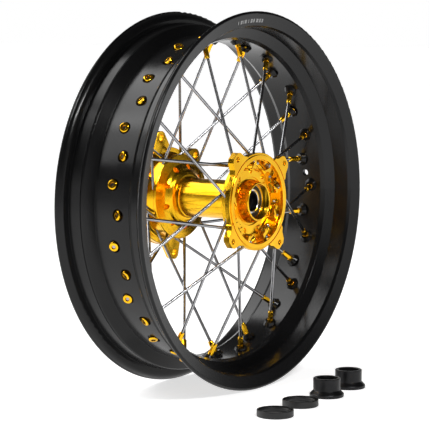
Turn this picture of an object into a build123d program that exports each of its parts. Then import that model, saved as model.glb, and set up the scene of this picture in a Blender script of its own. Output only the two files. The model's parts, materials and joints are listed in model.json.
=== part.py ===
from build123d import *
import math
import os

# Spoked rear wheel for a motorcycle, without its tyre: an aluminium rim, 36 spokes laced to a
# machined hub, two ball bearings with the tube between them, and the loose seals and axle spacers.
# Millimetres. The origin is the wheel's centre. The axle lies along Y: -Y is the brake disc side,
# +Y the sprocket side, and +Z is up. Angles about the axle are counted from +X towards +Z.

os.makedirs("parts", exist_ok=True)

# ---- driving dimensions -------------------------------------------------------------------------
# Rim, 4.25 x 17 inch
RIM_RADIUS = 232.5            # over the flanges
RIM_HALF_WIDTH = 65.0         # over the flanges
BEAD_HALF_WIDTH = 54.0        # between the flanges' inner walls
BEAD_RADIUS = 218.3           # 17 inch bead seat
WELL_RADIUS = 203.0           # tread side of the well
WELL_UNDERSIDE_RADIUS = 197.5
VALVE_HOLE_RADIUS = 4.15
VALVE_ANGLE = 6.0
VALVE_Y = -1.0

# Spoke pattern: nine spokes of each of four kinds
SPOKES_PER_KIND = 9
SPOKE_RADIUS = 1.9
ROW_CENTRE = -3.25            # the two rows of spoke holes straddle this plane
ROW_OFFSET = 6.0
LACING_RADIUS = 199.0         # where the rim angles and rows are counted
HEAD_CIRCLE = 47.3            # radius on which the spoke heads sit in the hub
FIRST_HOLE = 1.4              # angle of the first spoke hole in the rim
HOLE_STEP = 10.0

# kind: (first rim hole, rim row, hub angle minus rim angle, y where the line meets the head circle,
# how far along the line the head is sunk into the hub)
SPOKE_KINDS = {
    "disc_inner": (0, -1, -47.3, -53.1, 2.0),
    "disc_outer": (2, -1, 40.6, -60.4, 6.5),
    "sprocket_inner": (1, 1, 39.5, 63.5, 2.0),
    "sprocket_outer": (3, 1, -47.8, 72.6, 2.5),
}

# Hub
HUB_BORE = 21.02              # seats of the bearings
SEAL_SEAT_RADIUS = 21.5
SEAL_SEAT_MARGIN = 0.2        # between a bearing and its seal's seat
BARREL_BORE = 19.0
BARREL_RADIUS = 24.2
DISC_FACE = -65.0             # face of the disc lugs
DISC_RING_RADIUS = 60.2
DISC_BOLT_CIRCLE = 140.0
DISC_BOLTS = 4
DISC_BOLT_RADIUS = 3.4
DISC_LUG_ANGLE = 39.4
DISC_LUG_BACK = -56.5
SPROCKET_FACE = 84.9          # where the sprocket sits
SPROCKET_LUG_BACK = 76.9
SPROCKET_BOLT_CIRCLE = 150.0
SPROCKET_BOLTS = 6
SPROCKET_BOLT_RADIUS = 4.1
SPROCKET_LUG_ANGLE = 40.0
SPROCKET_LUG_TIP_RADIUS = 8.7
SPROCKET_REGISTER = 62.5      # centres the sprocket
DISH_RADIUS = 52.0
LEDGE_INNER_RADIUS = 41.0

# Bearings, 25 x 42 x 9
BEARING_BORE = 12.5
BEARING_RADIUS = 21.0
BEARING_WIDTH = 9.0
DISC_BEARING_Y = -50.0        # mid-plane
SPROCKET_BEARING_Y = 67.5
PITCH_RADIUS = 16.75
BALL_RADIUS = 2.78
BALL_COUNT = 11
GROOVE_CLEARANCE = 0.04

# Loose pieces, lying on the surface that the rim stands on
FLOOR = -RIM_RADIUS
SEAL_PLACES = [(-121.5, -174), (-55, -164)]
SPACER_PLACES = [(11, -158), (74.5, -148.5)]

THROUGH = 40.0                # length of a cutter that goes right through a wall


# ---- helpers ------------------------------------------------------------------------------------
def polar(radius, y, angle):
    """The point at a radius, a place along the axle and an angle about it."""
    a = math.radians(angle)
    return Vector(radius * math.cos(a), y, radius * math.sin(a))


def turned(shape, angle):
    """The shape turned about the axle, from +X towards +Z."""
    return shape.rotate(Axis.Y, -angle)


def around(shape, count, first=0.0):
    """Copies of the shape, evenly spaced about the axle."""
    return [turned(shape, first + i * 360 / count) for i in range(count)]


def spin(points):
    """A solid of revolution about the axle from an outline of (radius, y) corners."""
    return revolve(make_face(Polyline(*points, close=True)), Axis.Y)


def rod(start, direction, radius, length):
    """A cylinder from a point along a direction."""
    plane = Plane(origin=start, z_dir=direction)
    return plane * Cylinder(radius, length, align=(Align.CENTER, Align.CENTER, Align.MIN))


def cone(start, direction, radius_start, radius_end, length):
    """A cone frustum from a point along a direction."""
    plane = Plane(origin=start, z_dir=direction)
    return plane * Cone(radius_start, radius_end, length, align=(Align.CENTER, Align.CENTER, Align.MIN))


def save(shape, node):
    shape.label = node
    export_step(shape, f"parts/{node}.step")


# ---- spoke lines --------------------------------------------------------------------------------
def spoke_line(kind):
    """The head's seat in the hub, and the direction from there to the rim, for a kind's first spoke."""
    hole, row, lead, head_y, sink = SPOKE_KINDS[kind]
    rim_angle = FIRST_HOLE + HOLE_STEP * hole
    rim_point = polar(LACING_RADIUS, ROW_CENTRE + row * ROW_OFFSET, rim_angle)
    start = polar(HEAD_CIRCLE, head_y, rim_angle + lead)
    out = (rim_point - start).normalized()
    return start + out * sink, out


def at_radius(head, direction, radius):
    """The point where a spoke's line passes a radius on its way out."""
    a = direction.X ** 2 + direction.Z ** 2
    b = head.X * direction.X + head.Z * direction.Z
    c = head.X ** 2 + head.Z ** 2 - radius ** 2
    return head + direction * ((-b + math.sqrt(b * b - a * c)) / a)


# ---- rim ----------------------------------------------------------------------------------------
SEAT_INNER_HALF_WIDTH = 38.6
SEAT_INNER_RADIUS = 216.4
HUMP = (36.4, 217.0)
WELL_TOP = (34.8, 216.0)
WELL_CORNER = 26.7
UNDERSIDE_CORNER = (24.0, WELL_UNDERSIDE_RADIUS)
UNDERSIDE_BEND = (29.8, 200.4)
UNDERSIDE_TOP = (37.2, 212.3)
FLANGE_FOOT = (56.5, 213.4)
FLANGE_HEEL = (60.2, 215.2)
LIP_RADIUS = 2.6
FLANGE_CURVE_START = 222.5
FLANGE_CURVE_MIDDLE = (55.5, 227.4)
DIMPLE_TOP = 193.6            # radius of the dimples' tops, on the hub side
DIMPLE_DEPTH = 5.5
DIMPLE_TOP_RADIUS = 6.3
DIMPLE_FOOT_RADIUS = 9.2
CUP_FLOOR = 199.6
CUP_MOUTH_RADIUS = 8.0
CUP_FLOOR_RADIUS = 6.6
CUP_LENGTH = 8.0
NIPPLE_HOLE_RADIUS = 3.75
NIPPLE_HOLE_LENGTH = 16.0
VALVE_HOLE_START = 190.0      # radius where its cutter starts
VALVE_HOLE_LENGTH = 20.0


def rim_half_outline(side):
    """The rim's outline on one side of its middle plane, as edges from the well to the underside."""
    lip_y = RIM_HALF_WIDTH - LIP_RADIUS
    lip_r = RIM_RADIUS - LIP_RADIUS

    def at(point):
        return (point[1], side * point[0])

    def on_lip(angle):
        a = math.radians(angle)
        return at((lip_y + LIP_RADIUS * math.cos(a), lip_r + LIP_RADIUS * math.sin(a)))

    seat = Polyline(
        (WELL_RADIUS, 0), at((WELL_CORNER, WELL_RADIUS)), at(WELL_TOP), at(HUMP),
        at((SEAT_INNER_HALF_WIDTH, SEAT_INNER_RADIUS)), at((BEAD_HALF_WIDTH, BEAD_RADIUS)),
        at((BEAD_HALF_WIDTH, FLANGE_CURVE_START)),
    )
    flange = ThreePointArc(at((BEAD_HALF_WIDTH, FLANGE_CURVE_START)), at(FLANGE_CURVE_MIDDLE), on_lip(150))
    lip = ThreePointArc(on_lip(150), on_lip(60), on_lip(-12))
    underside = Polyline(
        on_lip(-12), at(FLANGE_HEEL), at(FLANGE_FOOT), at(UNDERSIDE_TOP), at(UNDERSIDE_BEND),
        at(UNDERSIDE_CORNER), (WELL_UNDERSIDE_RADIUS, 0),
    )
    return [*seat.edges(), flange, lip, *underside.edges()]


def make_rim():
    halves = [make_face(rim_half_outline(side) + [Line((WELL_UNDERSIDE_RADIUS, 0), (WELL_RADIUS, 0))])
              for side in (1, -1)]
    ring = revolve(halves[0], Axis.Y) + revolve(halves[1], Axis.Y)
    dimples = []
    cuts = []
    for kind in SPOKE_KINDS:
        head, out = spoke_line(kind)
        top = at_radius(head, out, DIMPLE_TOP)
        dimple = cone(top, out, DIMPLE_TOP_RADIUS, DIMPLE_FOOT_RADIUS, DIMPLE_DEPTH)
        cup = cone(at_radius(head, out, CUP_FLOOR), out, CUP_FLOOR_RADIUS, CUP_MOUTH_RADIUS, CUP_LENGTH)
        hole = rod(top - out * 2, out, NIPPLE_HOLE_RADIUS, NIPPLE_HOLE_LENGTH)
        dimples += around(dimple, SPOKES_PER_KIND)
        cuts += around(cup, SPOKES_PER_KIND) + around(hole, SPOKES_PER_KIND)
    valve_axis = polar(1, 0, VALVE_ANGLE)
    valve_start = polar(VALVE_HOLE_START, VALVE_Y, VALVE_ANGLE)
    valve_hole = rod(valve_start, valve_axis, VALVE_HOLE_RADIUS, VALVE_HOLE_LENGTH)
    return ring + dimples - cuts - valve_hole


# ---- spokes and nipples -------------------------------------------------------------------------
HEAD_RADIUS = 3.2
HEAD_LENGTH = 2.4
HEAD_CHAMFER = 0.7
NIPPLE_TOP = 205.4            # radius of the nipple's outer end
NIPPLE_HEAD_RADIUS = 6.1
NIPPLE_HEAD_LENGTH = 4.2
NIPPLE_HEAD_ROUNDING = 1.9
NIPPLE_SEAT_LENGTH = 1.6
NIPPLE_SHANK_RADIUS = 3.6
NIPPLE_SHANK_LENGTH = 9.5
NIPPLE_HEX_FLATS = 6.2
NIPPLE_HEX_LENGTH = 12.5
NIPPLE_TAPER_START = 5.6      # radius of the cone that trims the flats' corners towards the tip
NIPPLE_TIP_RADIUS = 2.9
NIPPLE_BORE = SPOKE_RADIUS + 0.02
NIPPLE_SOCKET_RADIUS = 2.7
NIPPLE_SOCKET_DEPTH = 2.6
SPOKE_END_DEPTH = 1.2         # from the nipple's outer end to the spoke's


def make_spoke(kind):
    head, out = spoke_line(kind)
    end = at_radius(head, out, NIPPLE_TOP) - out * SPOKE_END_DEPTH
    shank = rod(head - out * 0.5, out, SPOKE_RADIUS, (end - head).length + 0.5)
    button = rod(head - out * HEAD_LENGTH, out, HEAD_RADIUS, HEAD_LENGTH)
    button = chamfer(button.edges().sort_by(Axis(head, tuple(out)))[0], HEAD_CHAMFER)
    return shank + button


def make_nipple(kind):
    head, out = spoke_line(kind)
    top = at_radius(head, out, NIPPLE_TOP)
    inward = out * -1
    lower = top + inward * NIPPLE_HEAD_LENGTH
    shank_start = lower + inward * NIPPLE_SEAT_LENGTH
    hex_start = shank_start + inward * NIPPLE_SHANK_LENGTH
    button = rod(lower, out, NIPPLE_HEAD_RADIUS, NIPPLE_HEAD_LENGTH)
    button = fillet(button.edges().filter_by(GeomType.CIRCLE), NIPPLE_HEAD_ROUNDING)
    seat_radius = NIPPLE_HEAD_RADIUS - NIPPLE_HEAD_ROUNDING
    seat = cone(lower, inward, seat_radius, NIPPLE_SHANK_RADIUS, NIPPLE_SEAT_LENGTH)
    shank = rod(shank_start, inward, NIPPLE_SHANK_RADIUS, NIPPLE_SHANK_LENGTH)
    outline = RegularPolygon(NIPPLE_HEX_FLATS / 2, 6, major_radius=False)
    flats = extrude(Plane(origin=hex_start, z_dir=inward) * outline, NIPPLE_HEX_LENGTH)
    tip = cone(hex_start, inward, NIPPLE_TAPER_START, NIPPLE_TIP_RADIUS, NIPPLE_HEX_LENGTH)
    bore = rod(top + inward * THROUGH, out, NIPPLE_BORE, THROUGH + NIPPLE_SOCKET_DEPTH)
    socket = rod(top + inward * NIPPLE_SOCKET_DEPTH, out, NIPPLE_SOCKET_RADIUS, THROUGH)
    return button + seat + shank + (flats & tip) - bore - socket


# ---- hub ----------------------------------------------------------------------------------------
HEAD_POCKET_RADIUS = 3.9
HEAD_POCKET_LENGTH = 32.0
SPOKE_HOLE_RADIUS = 2.1
DISC_FLOOR = -52.0
DISC_LEDGE = -60.8
DISC_POCKET_FLOOR = -54.0
SPROCKET_FLOOR = 62.5
SPROCKET_LEDGE = 73.0
SPROCKET_POCKET_FLOOR = 64.4
SPROCKET_REGISTER_END = 88.9
RING_STEP = [(57.6, -66), (59.0, -66), (59.0, -63.6), (57.6, -63.6)]      # between the ring and the lugs
LIGHTENING_RADIUS = 3.5
DISC_LIGHTENING = (37.7, 10.0, -70.0)          # circle radius, first angle and where the cutter starts
SPROCKET_LIGHTENING = (38.3, 35.6, 45.0)
POCKET_ANGLE = 20.0
POCKET_REACH = 70.0           # of the wedge that sets a pocket's ends
DISC_POCKET_MIDDLE = 39.5
SPROCKET_POCKET_MIDDLE = 3.6


def hub_outline():
    disc_side = [
        (SEAL_SEAT_RADIUS, -64.4), (22.0, -65.0), (22.9, -65.0), (23.6, -64.3), (27.0, -53.2), (27.0, -50.5),
        (29.6, -50.5), (29.6, -51.6), (30.0, DISC_FLOOR), (40.6, DISC_FLOOR),
        (LEDGE_INNER_RADIUS, DISC_LEDGE), (51.6, DISC_LEDGE), (DISH_RADIUS, -64.6), (52.4, DISC_FACE),
        (57.2, DISC_FACE), (57.6, -64.6), (57.6, -63.8), (59.8, -63.8), (DISC_RING_RADIUS, -63.4),
        (DISC_RING_RADIUS, -57.0), (59.4, -56.2), (55.5, -56.2), (53.6, -55.4), (53.0, -53.8),
        (53.0, -46.9), (52.2, -46.0), (49.0, -45.4), (30.5, -43.8), (27.2, -42.9), (25.2, -41.0),
        (BARREL_RADIUS, -38.4),
    ]
    sprocket_side = [
        (BARREL_RADIUS, 39.6), (25.8, 40.2), (26.3, 40.8), (26.3, 43.0), (25.7, 43.8), (28.5, 44.2),
        (31.4, 45.2), (34.0, 47.2), (36.2, 49.8), (38.4, 51.8), (41.5, 53.2), (46.5, 54.2),
        (52.6, 55.2), (53.4, 56.0), (53.4, 58.0), (52.9, 58.8), (52.8, 59.6), (52.8, 73.0),
        (53.4, 75.0), (54.6, 76.4), (56.0, SPROCKET_LUG_BACK), (61.3, SPROCKET_LUG_BACK),
        (61.9, 77.5), (61.9, SPROCKET_FACE), (SPROCKET_REGISTER, SPROCKET_FACE),
        (SPROCKET_REGISTER, 88.1), (61.7, SPROCKET_REGISTER_END),
        (52.6, SPROCKET_REGISTER_END), (DISH_RADIUS, 88.3), (51.6, SPROCKET_LEDGE),
        (LEDGE_INNER_RADIUS, SPROCKET_LEDGE), (40.6, SPROCKET_FLOOR), (30.0, SPROCKET_FLOOR),
        (29.6, 62.1), (29.6, 61.0), (27.0, 61.0), (27.0, 63.8), (23.6, 81.3), (22.9, 82.0),
        (22.0, 82.0), (SEAL_SEAT_RADIUS, 81.4),
    ]
    half = BEARING_WIDTH / 2
    sprocket_seat = SPROCKET_BEARING_Y + half + SEAL_SEAT_MARGIN
    disc_seat = DISC_BEARING_Y - half - SEAL_SEAT_MARGIN
    bore = [
        (SEAL_SEAT_RADIUS, sprocket_seat), (HUB_BORE, sprocket_seat),
        (HUB_BORE, SPROCKET_BEARING_Y - half), (BARREL_BORE, SPROCKET_BEARING_Y - half),
        (BARREL_BORE, DISC_BEARING_Y + half), (HUB_BORE, DISC_BEARING_Y + half),
        (HUB_BORE, disc_seat), (SEAL_SEAT_RADIUS, disc_seat),
    ]
    return disc_side + sprocket_side + bore


def ledge_pocket(low, high, middle):
    """A pocket in the ledge that carries the spoke heads, between two pads."""
    inner = LEDGE_INNER_RADIUS - 1.5
    outer = DISH_RADIUS - 1
    ring = spin([(inner, high), (outer, high), (outer, low), (inner, low)])
    half = math.radians(POCKET_ANGLE / 2)
    sideways = POCKET_REACH * math.tan(half)
    wedge = Polyline((0, 0), (POCKET_REACH, -sideways), (POCKET_REACH, sideways), close=True)
    plane = Plane((0, 0, 0), x_dir=(1, 0, 0), z_dir=(0, -1, 0))
    wedge = extrude(plane * make_face(wedge), SPROCKET_FACE, both=True)
    return turned(ring & wedge, middle)


def disc_lug():
    half = [(54, -17), (60, -16.5), (64, -12.5), (72.5, -9.5), (76, -5.5)]
    outline = half + [(radius, -sideways) for radius, sideways in reversed(half)]
    lug = lug_block(outline, DISC_FACE, DISC_LUG_BACK)
    hole = rod(Vector(DISC_BOLT_CIRCLE / 2, DISC_FACE - 1, 0), Vector(0, 1, 0), DISC_BOLT_RADIUS, THROUGH)
    return lug, hole


def lug_block(outline, y_low, y_high):
    """A lug on the +X side, from (radius, sideways) corners, between two planes across the axle."""
    face = make_face(Polyline(*outline, close=True))
    plane = Plane(origin=(0, y_low, 0), x_dir=(1, 0, 0), z_dir=(0, 1, 0))
    return extrude(plane * face, y_high - y_low)


def sprocket_lug():
    middle = SPROCKET_BOLT_CIRCLE / 2
    thickness = SPROCKET_FACE - SPROCKET_LUG_BACK
    tip = rod(Vector(middle, SPROCKET_LUG_BACK, 0), Vector(0, 1, 0), SPROCKET_LUG_TIP_RADIUS, thickness)
    half = [(54, -16), (61, -15.5), (middle + 1.6, -8.55)]
    outline = half + [(radius, -sideways) for radius, sideways in reversed(half)]
    web = lug_block(outline, SPROCKET_LUG_BACK, SPROCKET_FACE)
    hole = rod(Vector(middle, SPROCKET_LUG_BACK - 1, 0), Vector(0, 1, 0), SPROCKET_BOLT_RADIUS, THROUGH)
    return tip + web, hole


def make_hub():
    """The hub, machined from one billet."""
    hub = spin(hub_outline())
    for lug, count, first in ((disc_lug(), DISC_BOLTS, DISC_LUG_ANGLE),
                              (sprocket_lug(), SPROCKET_BOLTS, SPROCKET_LUG_ANGLE)):
        hub = hub + around(lug[0], count, first) - around(lug[1], count, first)
    hub -= spin(RING_STEP)
    for low, high, middle in ((DISC_LEDGE - 1, DISC_POCKET_FLOOR, DISC_POCKET_MIDDLE),
                              (SPROCKET_POCKET_FLOOR, SPROCKET_LEDGE + 1, SPROCKET_POCKET_MIDDLE)):
        hub -= around(ledge_pocket(low, high, middle), SPOKES_PER_KIND)
    for radius, first, y in (DISC_LIGHTENING, SPROCKET_LIGHTENING):
        hole = rod(Vector(radius, y, 0), Vector(0, 1, 0), LIGHTENING_RADIUS, THROUGH)
        hub -= around(hole, SPOKES_PER_KIND, first)
    for kind in SPOKE_KINDS:
        head, out = spoke_line(kind)
        head_pocket = rod(head, out * -1, HEAD_POCKET_RADIUS, HEAD_POCKET_LENGTH)
        hole = rod(head - out, out, SPOKE_HOLE_RADIUS, THROUGH)
        hub -= around(head_pocket, SPOKES_PER_KIND)
        hub -= around(hole, SPOKES_PER_KIND)
    return hub


# ---- bearings -----------------------------------------------------------------------------------
OUTER_RACE_INNER_RADIUS = 18.3
INNER_RACE_OUTER_RADIUS = 15.1
SHIELD_SEAT_RADIUS = 19.9
SHIELD_INNER_RADIUS = 15.4
SHIELD_THICKNESS = 0.7
SHIELD_SEAT_DEPTH = 0.9
CAGE_INNER_RADIUS = 15.9
CAGE_OUTER_RADIUS = 17.6
CAGE_LOW = -0.9               # from the mid-plane
CAGE_HIGH = 3.5
RACE_CHAMFER = 0.4
TUBE_RADIUS = 15.0


def groove():
    return revolve(Plane.XY * Pos(PITCH_RADIUS, 0) * Circle(BALL_RADIUS + GROOVE_CLEARANCE), Axis.Y)


def make_bearing(middle):
    """The bearing's pieces by name, about a mid-plane across the axle."""
    half = BEARING_WIDTH / 2
    step = half - SHIELD_SEAT_DEPTH
    outer = spin([
        (OUTER_RACE_INNER_RADIUS, -step), (SHIELD_SEAT_RADIUS, -step), (SHIELD_SEAT_RADIUS, -half),
        (BEARING_RADIUS - RACE_CHAMFER, -half), (BEARING_RADIUS, -half + RACE_CHAMFER),
        (BEARING_RADIUS, half - RACE_CHAMFER), (BEARING_RADIUS - RACE_CHAMFER, half),
        (SHIELD_SEAT_RADIUS, half), (SHIELD_SEAT_RADIUS, step), (OUTER_RACE_INNER_RADIUS, step),
    ])
    inner = spin([
        (BEARING_BORE, -half + RACE_CHAMFER), (BEARING_BORE + RACE_CHAMFER, -half),
        (INNER_RACE_OUTER_RADIUS, -half), (INNER_RACE_OUTER_RADIUS, half),
        (BEARING_BORE + RACE_CHAMFER, half), (BEARING_BORE, half - RACE_CHAMFER),
    ])
    shield = spin([
        (SHIELD_INNER_RADIUS, step), (SHIELD_SEAT_RADIUS, step),
        (SHIELD_SEAT_RADIUS, step + SHIELD_THICKNESS), (SHIELD_INNER_RADIUS, step + SHIELD_THICKNESS),
    ])
    ball = Pos(PITCH_RADIUS, 0, 0) * Sphere(BALL_RADIUS)
    balls = around(ball, BALL_COUNT)
    pocket = Pos(PITCH_RADIUS, 0, 0) * Sphere(BALL_RADIUS + GROOVE_CLEARANCE)
    cage = spin([(CAGE_INNER_RADIUS, CAGE_LOW), (CAGE_OUTER_RADIUS, CAGE_LOW),
                 (CAGE_OUTER_RADIUS, CAGE_HIGH), (CAGE_INNER_RADIUS, CAGE_HIGH)])
    pieces = {
        "outer_race": outer - groove(),
        "inner_race": inner - groove(),
        "balls": Compound(balls),
        "cage": cage - around(pocket, BALL_COUNT),
        "shields": Compound([shield, shield.mirror(Plane.XZ)]),
    }
    return {name: Pos(0, middle, 0) * piece for name, piece in pieces.items()}


def make_distance_tube():
    start = DISC_BEARING_Y + BEARING_WIDTH / 2
    end = SPROCKET_BEARING_Y - BEARING_WIDTH / 2
    return spin([(BEARING_BORE, start), (TUBE_RADIUS, start), (TUBE_RADIUS, end), (BEARING_BORE, end)])


# ---- loose seals and spacers --------------------------------------------------------------------
SEAL_RADIUS = 21.5
SEAL_BORE = 16.4              # runs on a spacer's tube
SEAL_HEIGHT = 8.0
SPRING_RADIUS = 0.7
SPRING_HEIGHT = 4.7
SPRING_CIRCLE = 18.3
SPACER_HEIGHT = 23.0
SPACER_TUBE_RADIUS = 16.6
SPACER_FLANGE_RADIUS = 20.9


def upright(points):
    """A solid of revolution about Z from (radius, z) corners."""
    return revolve(Plane.XZ * make_face(Polyline(*points, close=True)), Axis.Z)


def make_seal():
    """An oil seal with its lip and garter spring facing up."""
    body = upright([
        (SEAL_BORE + 0.3, 1.4), (SEAL_BORE + 1.0, 0.6), (SEAL_BORE + 2.2, 0.0), (SEAL_RADIUS - 0.5, 0.0),
        (SEAL_RADIUS, 0.5), (SEAL_RADIUS, SEAL_HEIGHT - 0.6), (SEAL_RADIUS - 0.6, SEAL_HEIGHT),
        (SEAL_RADIUS - 1.6, SEAL_HEIGHT), (SEAL_RADIUS - 2.0, 2.4), (SEAL_BORE + 2.0, 2.0),
        (SEAL_BORE + 1.4, 3.0), (SEAL_BORE + 2.4, 6.0), (SEAL_BORE + 1.2, 6.8), (SEAL_BORE, 5.4),
        (SEAL_BORE, 4.2), (SEAL_BORE + 0.7, 3.0),
    ])
    ring = revolve(Plane.XZ * Pos(SPRING_CIRCLE, SPRING_HEIGHT) * Circle(SPRING_RADIUS), Axis.Z)
    return body - ring, ring


def make_spacer():
    """A top-hat axle spacer standing on its flange."""
    return upright([
        (BEARING_BORE + 0.1, 0.6), (BEARING_BORE + 0.7, 0.0), (SPACER_FLANGE_RADIUS - 0.6, 0.0),
        (SPACER_FLANGE_RADIUS, 0.6), (SPACER_FLANGE_RADIUS, 3.6), (SPACER_FLANGE_RADIUS - 0.5, 4.4),
        (SPACER_TUBE_RADIUS + 0.6, 7.6), (SPACER_TUBE_RADIUS, 8.4),
        (SPACER_TUBE_RADIUS, SPACER_HEIGHT - 0.7), (SPACER_TUBE_RADIUS - 0.7, SPACER_HEIGHT),
        (BEARING_BORE + 0.9, SPACER_HEIGHT), (BEARING_BORE + 0.1, SPACER_HEIGHT - 0.8),
    ])


# ---- write every piece --------------------------------------------------------------------------
save(make_rim(), "rim")
save(make_hub(), "hub")

for kind in SPOKE_KINDS:
    spokes = around(make_spoke(kind), SPOKES_PER_KIND)
    for number, spoke in enumerate(spokes, 1):
        save(spoke, f"spoke_{kind}_{number}")
    save(Compound(around(make_nipple(kind), SPOKES_PER_KIND)), f"nipples_{kind}")

for side, middle in (("disc", DISC_BEARING_Y), ("sprocket", SPROCKET_BEARING_Y)):
    for name, piece in make_bearing(middle).items():
        save(piece, f"{side}_bearing_{name}")
save(make_distance_tube(), "distance_tube")

seal, garter_spring = make_seal()
for number, (x, y) in enumerate(SEAL_PLACES, 1):
    save(Pos(x, y, FLOOR) * seal, f"axle_seal_{number}")
    save(Pos(x, y, FLOOR) * garter_spring, f"axle_seal_{number}_spring")
for number, (x, y) in enumerate(SPACER_PLACES, 1):
    save(Pos(x, y, FLOOR) * make_spacer(), f"axle_spacer_{number}")
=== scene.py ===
import json
import math

import bmesh
import bpy
from mathutils import Matrix, Vector


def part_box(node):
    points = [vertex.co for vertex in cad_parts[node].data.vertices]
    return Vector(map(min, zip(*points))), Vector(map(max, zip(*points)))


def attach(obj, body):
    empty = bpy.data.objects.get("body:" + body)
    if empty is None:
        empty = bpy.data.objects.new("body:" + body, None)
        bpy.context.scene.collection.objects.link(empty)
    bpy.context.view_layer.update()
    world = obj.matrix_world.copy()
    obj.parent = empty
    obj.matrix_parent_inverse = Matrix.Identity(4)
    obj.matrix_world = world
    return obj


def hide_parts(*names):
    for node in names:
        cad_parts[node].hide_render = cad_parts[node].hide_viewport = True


# Spoked motorcycle wheel without its tyre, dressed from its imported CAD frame. The scene is in metres,
# and values that are multiplied by MM are in millimetres. The origin is the wheel's centre, the axle
# lies along Y with the brake disc side at -Y, and +Z is up. Angles are in degrees.

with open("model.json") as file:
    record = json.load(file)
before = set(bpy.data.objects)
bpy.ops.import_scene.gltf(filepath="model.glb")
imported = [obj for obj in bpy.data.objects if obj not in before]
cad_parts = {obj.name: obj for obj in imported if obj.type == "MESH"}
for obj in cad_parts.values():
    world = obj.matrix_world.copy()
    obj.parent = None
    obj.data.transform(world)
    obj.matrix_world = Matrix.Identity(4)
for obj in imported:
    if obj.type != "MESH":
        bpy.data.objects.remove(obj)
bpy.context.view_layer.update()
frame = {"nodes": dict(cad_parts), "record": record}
nodes = frame["nodes"]

MM = 0.001
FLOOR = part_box("rim")[0][2]
DISC_LUG_ANGLE = 39.4         # of the first disc lug, from +X towards +Z

# ---- camera ---------------------------------------------------------------------------------------
CAMERA_AZIMUTH = -53.452      # of its right-hand direction, about +Z from +X
CAMERA_ELEVATION = 5.265
CAMERA_DISTANCE = 2.3607
CAMERA_LENS = 158.63
CAMERA_SHIFT = (-0.00374, -0.0377)

BACKDROP_TOP = 0.12          # sine of the elevation where the white backdrop ends
CEILING_FROM = 0.30          # the same, where the ceiling begins
CEILING = 0.06               # its brightness
CARDS = (                     # (degrees about +Z from +X, brightness) round the backdrop
    (-180, 0.8), (-120, 0.5), (-84, 1.0), (-62, 1.0), (-52, 0.22), (-24, 0.22), (-14, 1.0), (100, 1.0),
    (118, 0.15), (134, 0.15), (150, 1.0), (180, 0.8),
)
FLOOR_REACH = 30.0
FLOOR_CELLS = 24
FLOOR_GLOW = 0.67            # evens the floor out to white


def add_camera():
    azimuth = math.radians(CAMERA_AZIMUTH)
    elevation = math.radians(CAMERA_ELEVATION)
    right = Vector((math.cos(azimuth), math.sin(azimuth), 0))
    level = Vector((math.sin(azimuth), -math.cos(azimuth), 0))
    back = level * math.cos(elevation) + Vector((0, 0, math.sin(elevation)))
    up = back.cross(right)
    data = bpy.data.cameras.new("camera")
    data.lens = CAMERA_LENS
    data.shift_x, data.shift_y = CAMERA_SHIFT
    camera = bpy.data.objects.new("camera", data)
    turn = Matrix((right, up, back)).transposed().to_4x4()
    camera.matrix_world = Matrix.Translation(back * CAMERA_DISTANCE) @ turn
    bpy.context.scene.collection.objects.link(camera)
    bpy.context.scene.camera = camera


# ---- light and floor ------------------------------------------------------------------------------
def add_world():
    """A white backdrop up to just over the horizon, with grey cards round it and a dim ceiling above."""
    world = bpy.data.worlds.new("studio")
    world.use_nodes = True
    tree = world.node_tree
    place = tree.nodes.new("ShaderNodeTexCoord")
    split = tree.nodes.new("ShaderNodeSeparateXYZ")
    ramp = tree.nodes.new("ShaderNodeValToRGB")
    tree.links.new(place.outputs["Generated"], split.inputs["Vector"])
    tree.links.new(split.outputs["Z"], ramp.inputs["Fac"])
    azimuth = tree.nodes.new("ShaderNodeTexGradient")
    azimuth.gradient_type = "RADIAL"
    cards = tree.nodes.new("ShaderNodeValToRGB")
    cards.color_ramp.interpolation = "EASE"
    while len(cards.color_ramp.elements) < len(CARDS):
        cards.color_ramp.elements.new(0.5)
    for stop, (degrees, level) in zip(cards.color_ramp.elements, CARDS):
        stop.position = 0.5 + degrees / 360
        stop.color = (level, level, level, 1)
    both = tree.nodes.new("ShaderNodeMix")
    both.data_type = "RGBA"
    both.blend_type = "MULTIPLY"
    both.inputs["Factor"].default_value = 1
    tree.links.new(place.outputs["Generated"], azimuth.inputs["Vector"])
    tree.links.new(azimuth.outputs["Fac"], cards.inputs["Fac"])
    tree.links.new(ramp.outputs["Color"], both.inputs["A"])
    tree.links.new(cards.outputs["Color"], both.inputs["B"])
    tree.links.new(both.outputs["Result"], tree.nodes["Background"].inputs["Color"])
    backdrop, ceiling = ramp.color_ramp.elements
    backdrop.position, backdrop.color = BACKDROP_TOP, (1, 1, 1, 1)
    ceiling.position, ceiling.color = CEILING_FROM, (CEILING, CEILING, CEILING, 1)
    bpy.context.scene.world = world
    bpy.context.scene.view_settings.view_transform = "Standard"


def add_light(name, kind, place, energy, **settings):
    light = bpy.data.lights.new(name, kind)
    light.energy = energy
    for setting, value in settings.items():
        setattr(light, setting, value)
    lamp = bpy.data.objects.new(name, light)
    lamp.location = place
    lamp.rotation_euler = Vector(place).to_track_quat("Z", "Y").to_euler()
    bpy.context.scene.collection.objects.link(lamp)


def add_floor():
    """A white floor, wide enough to reach the backdrop."""
    mesh = bmesh.new()
    bmesh.ops.create_grid(mesh, x_segments=FLOOR_CELLS, y_segments=FLOOR_CELLS, size=FLOOR_REACH)
    data = bpy.data.meshes.new("floor")
    mesh.to_mesh(data)
    mesh.free()
    floor = bpy.data.objects.new("floor", data)
    floor.location.z = FLOOR
    shader = Shader("studio_floor", Roughness=0.7, Specular_IOR_Level=0.1,
                    Emission_Color=(1, 1, 1, 1), Emission_Strength=FLOOR_GLOW)
    shader.tint(shader.noise(3), (0.86, 0.86, 0.86), (0.88, 0.88, 0.88))
    floor.data.materials.append(shader.material)
    bpy.context.scene.collection.objects.link(floor)


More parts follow.
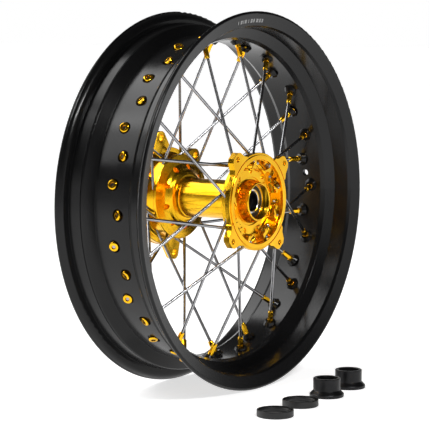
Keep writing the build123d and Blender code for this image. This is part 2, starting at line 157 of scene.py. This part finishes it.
# ---- materials ------------------------------------------------------------------------------------
class Shader:
    """A principled material and a few ways to break up its surface."""

    def __init__(self, name, **values):
        self.material = bpy.data.materials.new(name)
        self.material.use_nodes = True
        self.tree = self.material.node_tree
        self.principled = self.tree.nodes["Principled BSDF"]
        for socket, value in values.items():
            self.principled.inputs[socket.replace("_", " ")].default_value = value
        self.place = self.node("ShaderNodeTexCoord").outputs["Object"]
        self.normal = None

    def node(self, kind, **settings):
        made = self.tree.nodes.new(kind)
        for name, value in settings.items():
            setattr(made, name, value)
        return made

    def link(self, source, target):
        self.tree.links.new(source, target)

    def noise(self, scale, detail=3.0, stretch=(1, 1, 1)):
        mapping = self.node("ShaderNodeMapping")
        mapping.inputs["Scale"].default_value = stretch
        self.link(self.place, mapping.inputs["Vector"])
        noise = self.node("ShaderNodeTexNoise")
        noise.inputs["Scale"].default_value = scale
        noise.inputs["Detail"].default_value = detail
        self.link(mapping.outputs["Vector"], noise.inputs["Vector"])
        return noise.outputs["Fac"]

    def wave(self, scale, kind, axis="Y", distortion=1.5):
        wave = self.node("ShaderNodeTexWave", wave_type=kind, wave_profile="SIN")
        if kind == "RINGS":
            wave.rings_direction = axis
        else:
            wave.bands_direction = axis
        wave.inputs["Scale"].default_value = scale
        wave.inputs["Distortion"].default_value = distortion
        self.link(self.place, wave.inputs["Vector"])
        return wave.outputs["Fac"]

    def spread(self, factor, low, high):
        """The factor taken from 0..1 to low..high."""
        ranged = self.node("ShaderNodeMapRange")
        ranged.inputs["To Min"].default_value = low
        ranged.inputs["To Max"].default_value = high
        self.link(factor, ranged.inputs["Value"])
        return ranged.outputs["Result"]

    def tint(self, factor, dark, light):
        ramp = self.node("ShaderNodeValToRGB")
        ramp.color_ramp.elements[0].color = (*dark, 1)
        ramp.color_ramp.elements[0].position = 0.3
        ramp.color_ramp.elements[1].color = (*light, 1)
        ramp.color_ramp.elements[1].position = 0.7
        self.link(factor, ramp.inputs["Fac"])
        self.link(ramp.outputs["Color"], self.principled.inputs["Base Color"])

    def rough(self, factor, low, high):
        self.link(self.spread(factor, low, high), self.principled.inputs["Roughness"])

    def soften(self, radius):
        """Rounded edges, in the shading only."""
        bevel = self.node("ShaderNodeBevel", samples=4)
        bevel.inputs["Radius"].default_value = radius
        self.normal = bevel.outputs["Normal"]
        self.link(self.normal, self.principled.inputs["Normal"])

    def bump(self, factor, depth, strength=1.0):
        bump = self.node("ShaderNodeBump")
        bump.inputs["Distance"].default_value = depth
        bump.inputs["Strength"].default_value = strength
        self.link(factor, bump.inputs["Height"])
        if self.normal is not None:
            self.link(self.normal, bump.inputs["Normal"])
        self.normal = bump.outputs["Normal"]
        self.link(self.normal, self.principled.inputs["Normal"])


def powder_coat():
    shader = Shader("rim_powder_coat", Specular_IOR_Level=0.24)
    shader.tint(shader.noise(6), (0.0035, 0.0035, 0.0037), (0.0060, 0.0060, 0.0063))
    shader.rough(shader.noise(45), 0.17, 0.23)
    shader.soften(0.8 * MM)
    shader.bump(shader.noise(900, detail=2), 0.03 * MM, 0.5)
    return shader.material


def anodised_gold(name, dark, light, low, high):
    shader = Shader(name, Metallic=1.0)
    shader.tint(shader.noise(40), dark, light)
    shader.rough(shader.noise(300), low, high)
    shader.soften(0.35 * MM)
    shader.bump(shader.wave(2200, "RINGS", distortion=0.3), 0.006 * MM, 0.4)
    shader.bump(shader.wave(2200, "BANDS", distortion=0.3), 0.006 * MM, 0.4)
    return shader.material


def steel(name, dark, light, low, high, brushed=(1, 1, 1), depth=0.008):
    shader = Shader(name, Metallic=1.0)
    shader.tint(shader.noise(60, stretch=brushed), dark, light)
    shader.rough(shader.noise(400, stretch=brushed), low, high)
    shader.soften(0.15 * MM)
    shader.bump(shader.noise(1500, stretch=brushed), depth * MM, 0.6)
    return shader.material


def rubber():
    shader = Shader("nitrile_rubber", Specular_IOR_Level=0.4)
    shader.tint(shader.noise(90), (0.008, 0.008, 0.008), (0.014, 0.014, 0.0145))
    shader.rough(shader.noise(250), 0.42, 0.56)
    shader.soften(0.2 * MM)
    shader.bump(shader.noise(1800, detail=4), 0.02 * MM, 0.7)
    return shader.material


def stamp_paint():
    shader = Shader("stamp_paint", Specular_IOR_Level=0.4)
    shader.tint(shader.noise(300), (0.16, 0.16, 0.16), (0.24, 0.24, 0.24))
    shader.rough(shader.noise(500), 0.4, 0.55)
    shader.bump(shader.noise(1200), 0.02 * MM, 0.5)
    return shader.material


def black_anodised():
    shader = Shader("black_anodised", Metallic=0.75)
    shader.tint(shader.noise(70), (0.013, 0.013, 0.014), (0.022, 0.022, 0.023))
    shader.rough(shader.noise(200), 0.30, 0.40)
    shader.soften(0.25 * MM)
    shader.bump(shader.wave(1000, "BANDS", axis="Z"), 0.01 * MM, 0.5)
    return shader.material


def paint(node, material):
    mesh = nodes[node].data
    mesh.materials.clear()
    mesh.materials.append(material)


def dress_cad():
    """A finish for every CAD node, by the record's material slots, and those finishes by slot."""
    gold_dark, gold_light = (0.80, 0.41, 0.009), (0.93, 0.53, 0.020)
    finishes = {
        "rim_black": powder_coat(),
        "hub_gold": anodised_gold("hub_gold", gold_dark, gold_light, 0.16, 0.24),
        "nipple_gold": anodised_gold("nipple_gold", gold_dark, gold_light, 0.14, 0.20),
        "spoke_steel": steel("spoke_stainless", (0.27, 0.27, 0.28), (0.38, 0.38, 0.39), 0.16, 0.24),
        "race_steel": steel("race_steel", (0.58, 0.58, 0.59), (0.68, 0.68, 0.69), 0.16, 0.26),
        "ball_steel": steel("ball_steel", (0.70, 0.70, 0.71), (0.76, 0.76, 0.77), 0.05, 0.09, depth=0.002),
        "cage_steel": steel("cage_steel", (0.38, 0.38, 0.38), (0.52, 0.52, 0.52), 0.25, 0.4),
        "spring_steel": steel("spring_wire", (0.35, 0.35, 0.35), (0.5, 0.5, 0.5), 0.25, 0.35),
        # The tube's metal is kept far darker than bare aluminium (0.10 to 0.16). This is painted shade for
        # the dark inside of the hub's bore, where the tube shows.
        "tube_aluminium": steel("turned_tube_painted_shade", (0.10, 0.10, 0.10), (0.16, 0.16, 0.16), 0.34, 0.46,
                                brushed=(1, 40, 1)),
        "seal_rubber": rubber(),
        "spacer_black": black_anodised(),
    }
    for part in frame["record"]["subparts"]:
        paint(part["node"], finishes[part["material_slot"]])
    return finishes


# ---- mesh helpers ---------------------------------------------------------------------------------
def add_piece(name, mesh, material, body):
    """A finished bmesh as a piece that rides on a CAD body."""
    data = bpy.data.meshes.new(name)
    bmesh.ops.recalc_face_normals(mesh, faces=mesh.faces)
    mesh.to_mesh(data)
    mesh.free()
    data.materials.append(material)
    piece = bpy.data.objects.new(name, data)
    bpy.context.scene.collection.objects.link(piece)
    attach(piece, body)
    return piece


def around(points, angle):
    """Points turned about the axle, from +X towards +Z."""
    turn = Matrix.Rotation(-angle, 3, "Y")
    return [turn @ Vector(p) for p in points]


def sweep(mesh, rings, closed):
    """Quads between neighbouring rings of points, each ring a closed section."""
    made = [[mesh.verts.new(p) for p in ring] for ring in rings]
    pairs = list(zip(made, made[1:]))
    if closed:
        pairs.append((made[-1], made[0]))
    for a, b in pairs:
        for k in range(len(a)):
            mesh.faces.new((a[k - 1], a[k], b[k], b[k - 1]))
    if not closed:
        mesh.faces.new(made[0])
        mesh.faces.new(list(reversed(made[-1])))


def smooth(piece):
    for face in piece.data.polygons:
        face.use_smooth = True
    return piece


# ---- size marks on the rim ------------------------------------------------------------------------
MARK_FACE = ((-60.2, 215.2), (-64.9, 229.4))     # (y, radius) across the flange's outer face
MARK_MIDDLE = 0.42                               # share of the way across that face
MARK_HEIGHT = 4.6
MARK_PROUD = 0.12
MARK_FIRST_ANGLE = 100.5
MARK_GAP = 0.45
MARK_STEPS = 5
MARK_LENGTHS = (0.35, 0, 1.0, 0.35, 1.0, 0, 0.35, 0, 1.0, 0.7, 0, 1.0, 1.0, 0.7)


def add_size_marks(material):
    """Plain dashes in place of a size stamp, along the top of the near flange's outer face."""
    (y_heel, r_heel), (y_lip, r_lip) = MARK_FACE
    along = Vector((y_lip - y_heel, r_lip - r_heel)).normalized()
    off = Vector((-along.y, along.x))
    middle = Vector((y_heel, r_heel)).lerp(Vector((y_lip, r_lip)), MARK_MIDDLE)
    mesh = bmesh.new()
    angle = MARK_FIRST_ANGLE
    for length in MARK_LENGTHS:
        if length:
            section = []
            for side, lift in ((-1, -1), (-1, 1), (-0.8, 1.6), (0.8, 1.6), (1, 1), (1, -1)):
                p = middle + along * side * MARK_HEIGHT / 2 + off * lift * MARK_PROUD
                section.append((p.y * MM, p.x * MM, 0))
            rings = [around(section, math.radians(angle - length * k / MARK_STEPS))
                     for k in range(MARK_STEPS + 1)]
            sweep(mesh, rings, closed=False)
        angle -= length + MARK_GAP
    return add_piece("rim_size_marks", mesh, material, "wheel")


# ---- threads in the disc lugs ---------------------------------------------------------------------
THREAD_PITCH = 1.25
THREAD_STEPS = 24             # for each turn
THREAD_TURNS = 6
THREAD_START = 0.9            # in from the lug's face
THREAD_SECTION = ((-0.05, -0.5), (0.42, -0.07), (0.42, 0.07), (-0.05, 0.5))   # (inward, share of the pitch)


def add_disc_threads(material):
    """The thread in each hole that takes a disc bolt."""
    mount = next(m for m in frame["record"]["mounts"] if m["name"] == "disc_bolts")
    circle = mount["dims"]["pcd_mm"] / 2
    radius = mount["dims"]["hole_r_mm"]
    count = mount["dims"]["count"]
    start = mount["pos_m"][1] / MM + THREAD_START
    mesh = bmesh.new()
    for hole in range(count):
        rings = []
        for step in range(THREAD_TURNS * THREAD_STEPS + 1):
            a = 2 * math.pi * step / THREAD_STEPS
            y = start + THREAD_PITCH * step / THREAD_STEPS
            ring = []
            for inward, rise in THREAD_SECTION:
                r = radius - inward
                point = Vector((circle + r * math.cos(a), y + rise * THREAD_PITCH, r * math.sin(a)))
                ring.append(point * MM)
            rings.append(around(ring, math.radians(DISC_LUG_ANGLE + 360 * hole / count)))
        sweep(mesh, rings, closed=False)
    return smooth(add_piece("disc_lug_threads", mesh, material, "wheel"))


# ---- garter springs -------------------------------------------------------------------------------
SPRING_TURNS = 120
SPRING_STEPS = 8              # for each turn
WIRE_RADIUS = 0.2
WIRE_SIDES = 6


def add_garter_spring(number, material):
    """The seal's spring as the close coil that it is."""
    node = f"axle_seal_{number}_spring"
    low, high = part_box(node)
    centre = Vector((low + high)) / 2
    coil_radius = (high[2] - low[2]) / 2 - WIRE_RADIUS * MM
    circle = (high[0] - low[0]) / 2 - coil_radius - WIRE_RADIUS * MM

    def on_coil(step):
        a = 2 * math.pi * step / (SPRING_TURNS * SPRING_STEPS)
        b = a * SPRING_TURNS
        r = circle + coil_radius * math.cos(b)
        return centre + Vector((r * math.cos(a), r * math.sin(a), coil_radius * math.sin(b)))

    mesh = bmesh.new()
    rings = []
    for step in range(SPRING_TURNS * SPRING_STEPS):
        here = on_coil(step)
        tangent = (on_coil(step + 1) - on_coil(step - 1)).normalized()
        side = tangent.cross(Vector((0, 0, 1))).normalized()
        other = tangent.cross(side)
        turn = [2 * math.pi * k / WIRE_SIDES for k in range(WIRE_SIDES)]
        rings.append([here + (side * math.cos(t) + other * math.sin(t)) * WIRE_RADIUS * MM for t in turn])
    sweep(mesh, rings, closed=True)
    piece = smooth(add_piece(f"garter_spring_{number}", mesh, material, "axle_parts"))
    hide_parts(node)
    return piece


# ---- bearing shields ------------------------------------------------------------------------------
SHIELD_RINGS = 128
SHIELD_INNER = 15.4
SHIELD_EDGE = -0.25           # depths from the CAD ring's outer face
SHIELD_RAISED = -0.02
SHIELD_STEP = -0.22
SHIELD_BACK = -0.68


def add_shields(side, material):
    """Pressed bearing shields with a stepped middle, in place of the plain rings."""
    node = f"{side}_bearing_shields"
    low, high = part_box(node)
    outer = (high[0] - low[0]) / 2 / MM
    middle = (high[1] + low[1]) / 2 / MM
    half = (high[1] - low[1]) / 2 / MM
    inner = SHIELD_INNER
    front = [(outer, SHIELD_EDGE), (outer - 0.5, SHIELD_RAISED), (outer - 1.3, SHIELD_RAISED),
             (outer - 1.6, SHIELD_STEP), (inner + 1.5, SHIELD_STEP), (inner + 1.2, SHIELD_RAISED),
             (inner + 0.5, SHIELD_RAISED), (inner, SHIELD_EDGE)]
    back = [(inner, SHIELD_BACK), (outer, SHIELD_BACK)]
    mesh = bmesh.new()
    for way in (1, -1):
        rings = []
        for step in range(SHIELD_RINGS):
            section = [(r * MM, (middle + way * (half + depth)) * MM, 0) for r, depth in front + back]
            rings.append(around(section, 2 * math.pi * step / SHIELD_RINGS))
        sweep(mesh, rings, closed=True)
    piece = add_piece(f"{side}_shield_pressings", mesh, material, "wheel")
    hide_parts(node)
    return piece


add_camera()
add_world()
add_floor()
add_light("window", "SUN", (-0.15, 0.75, 0.80), 1.5, angle=math.radians(40))
add_light("strip", "AREA", (-0.67, 2.25, 0.5), 20, shape="RECTANGLE", size=0.4, size_y=2.0)
add_light("softbox", "AREA", (-1.45, 1.45, 1.35), 8, shape="RECTANGLE", size=0.7, size_y=1.2)
add_light("front_strip", "AREA", (-0.85, -1.9, 1.6), 34, shape="RECTANGLE", size=0.9, size_y=0.25)
finishes = dress_cad()
add_size_marks(stamp_paint())
add_disc_threads(finishes["hub_gold"])
for number in (1, 2):
    add_garter_spring(number, finishes["spring_steel"])
for side in ("disc", "sprocket"):
    add_shields(side, finishes["seal_rubber"])
